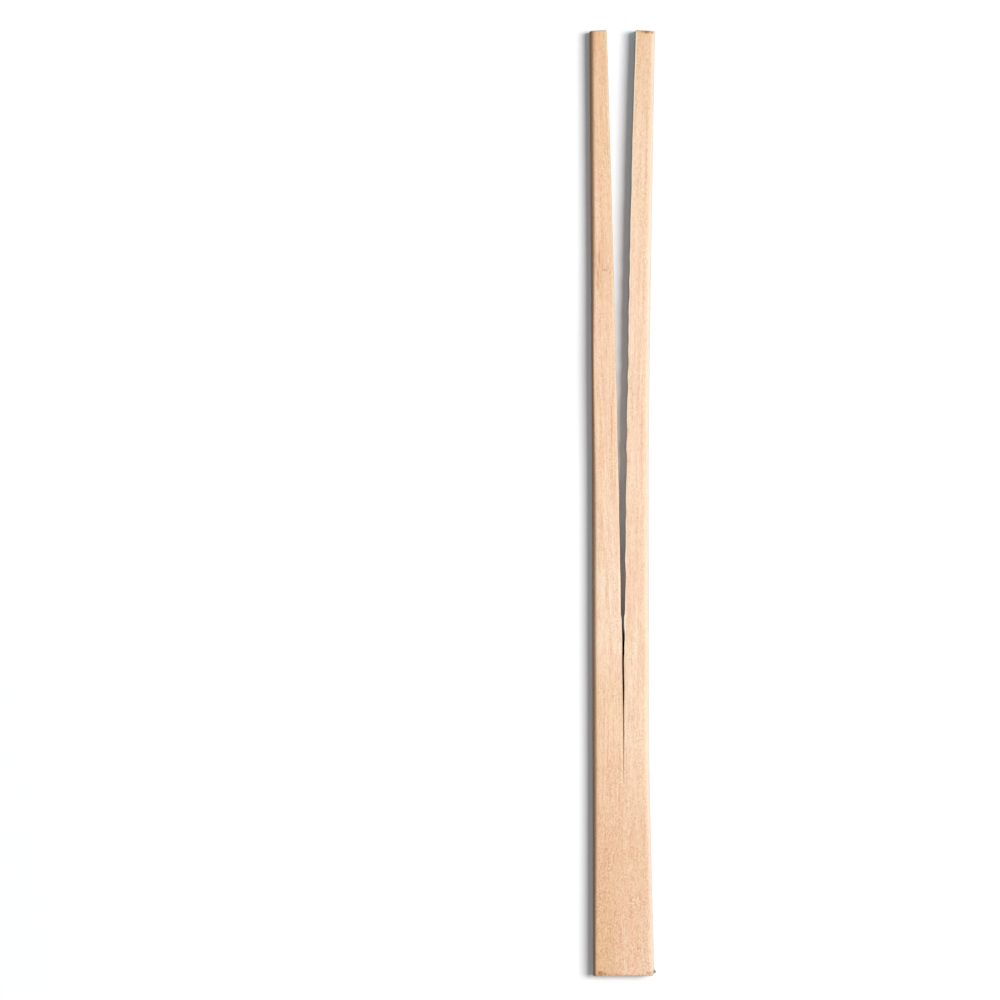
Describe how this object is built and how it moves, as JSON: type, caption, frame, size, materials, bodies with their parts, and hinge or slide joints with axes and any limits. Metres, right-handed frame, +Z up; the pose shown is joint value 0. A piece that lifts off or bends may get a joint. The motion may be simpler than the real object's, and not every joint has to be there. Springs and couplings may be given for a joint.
{
  "type": "disposable chopsticks",
  "caption": "Joined pair of pale wooden disposable chopsticks, one slim tapered bar split along the grain from the tips to near the head, with the tips sprung apart.",
  "frame": {"origin": "on the surface it lies on, under the middle of its bounding box", "axes": "+X across the pair to the right as seen from above with the tips pointing away, +Y along the pair from the joined head to the tips, +Z up through the thickness"},
  "size_m": [0.0142, 0.203, 0.0046],
  "materials": {
    "pale_wood": "bare, planed and tumbled, matte"
  },
  "bodies": {
    "root": {"chopstick_pair": "pale_wood"}
  },
  "joints": []
}
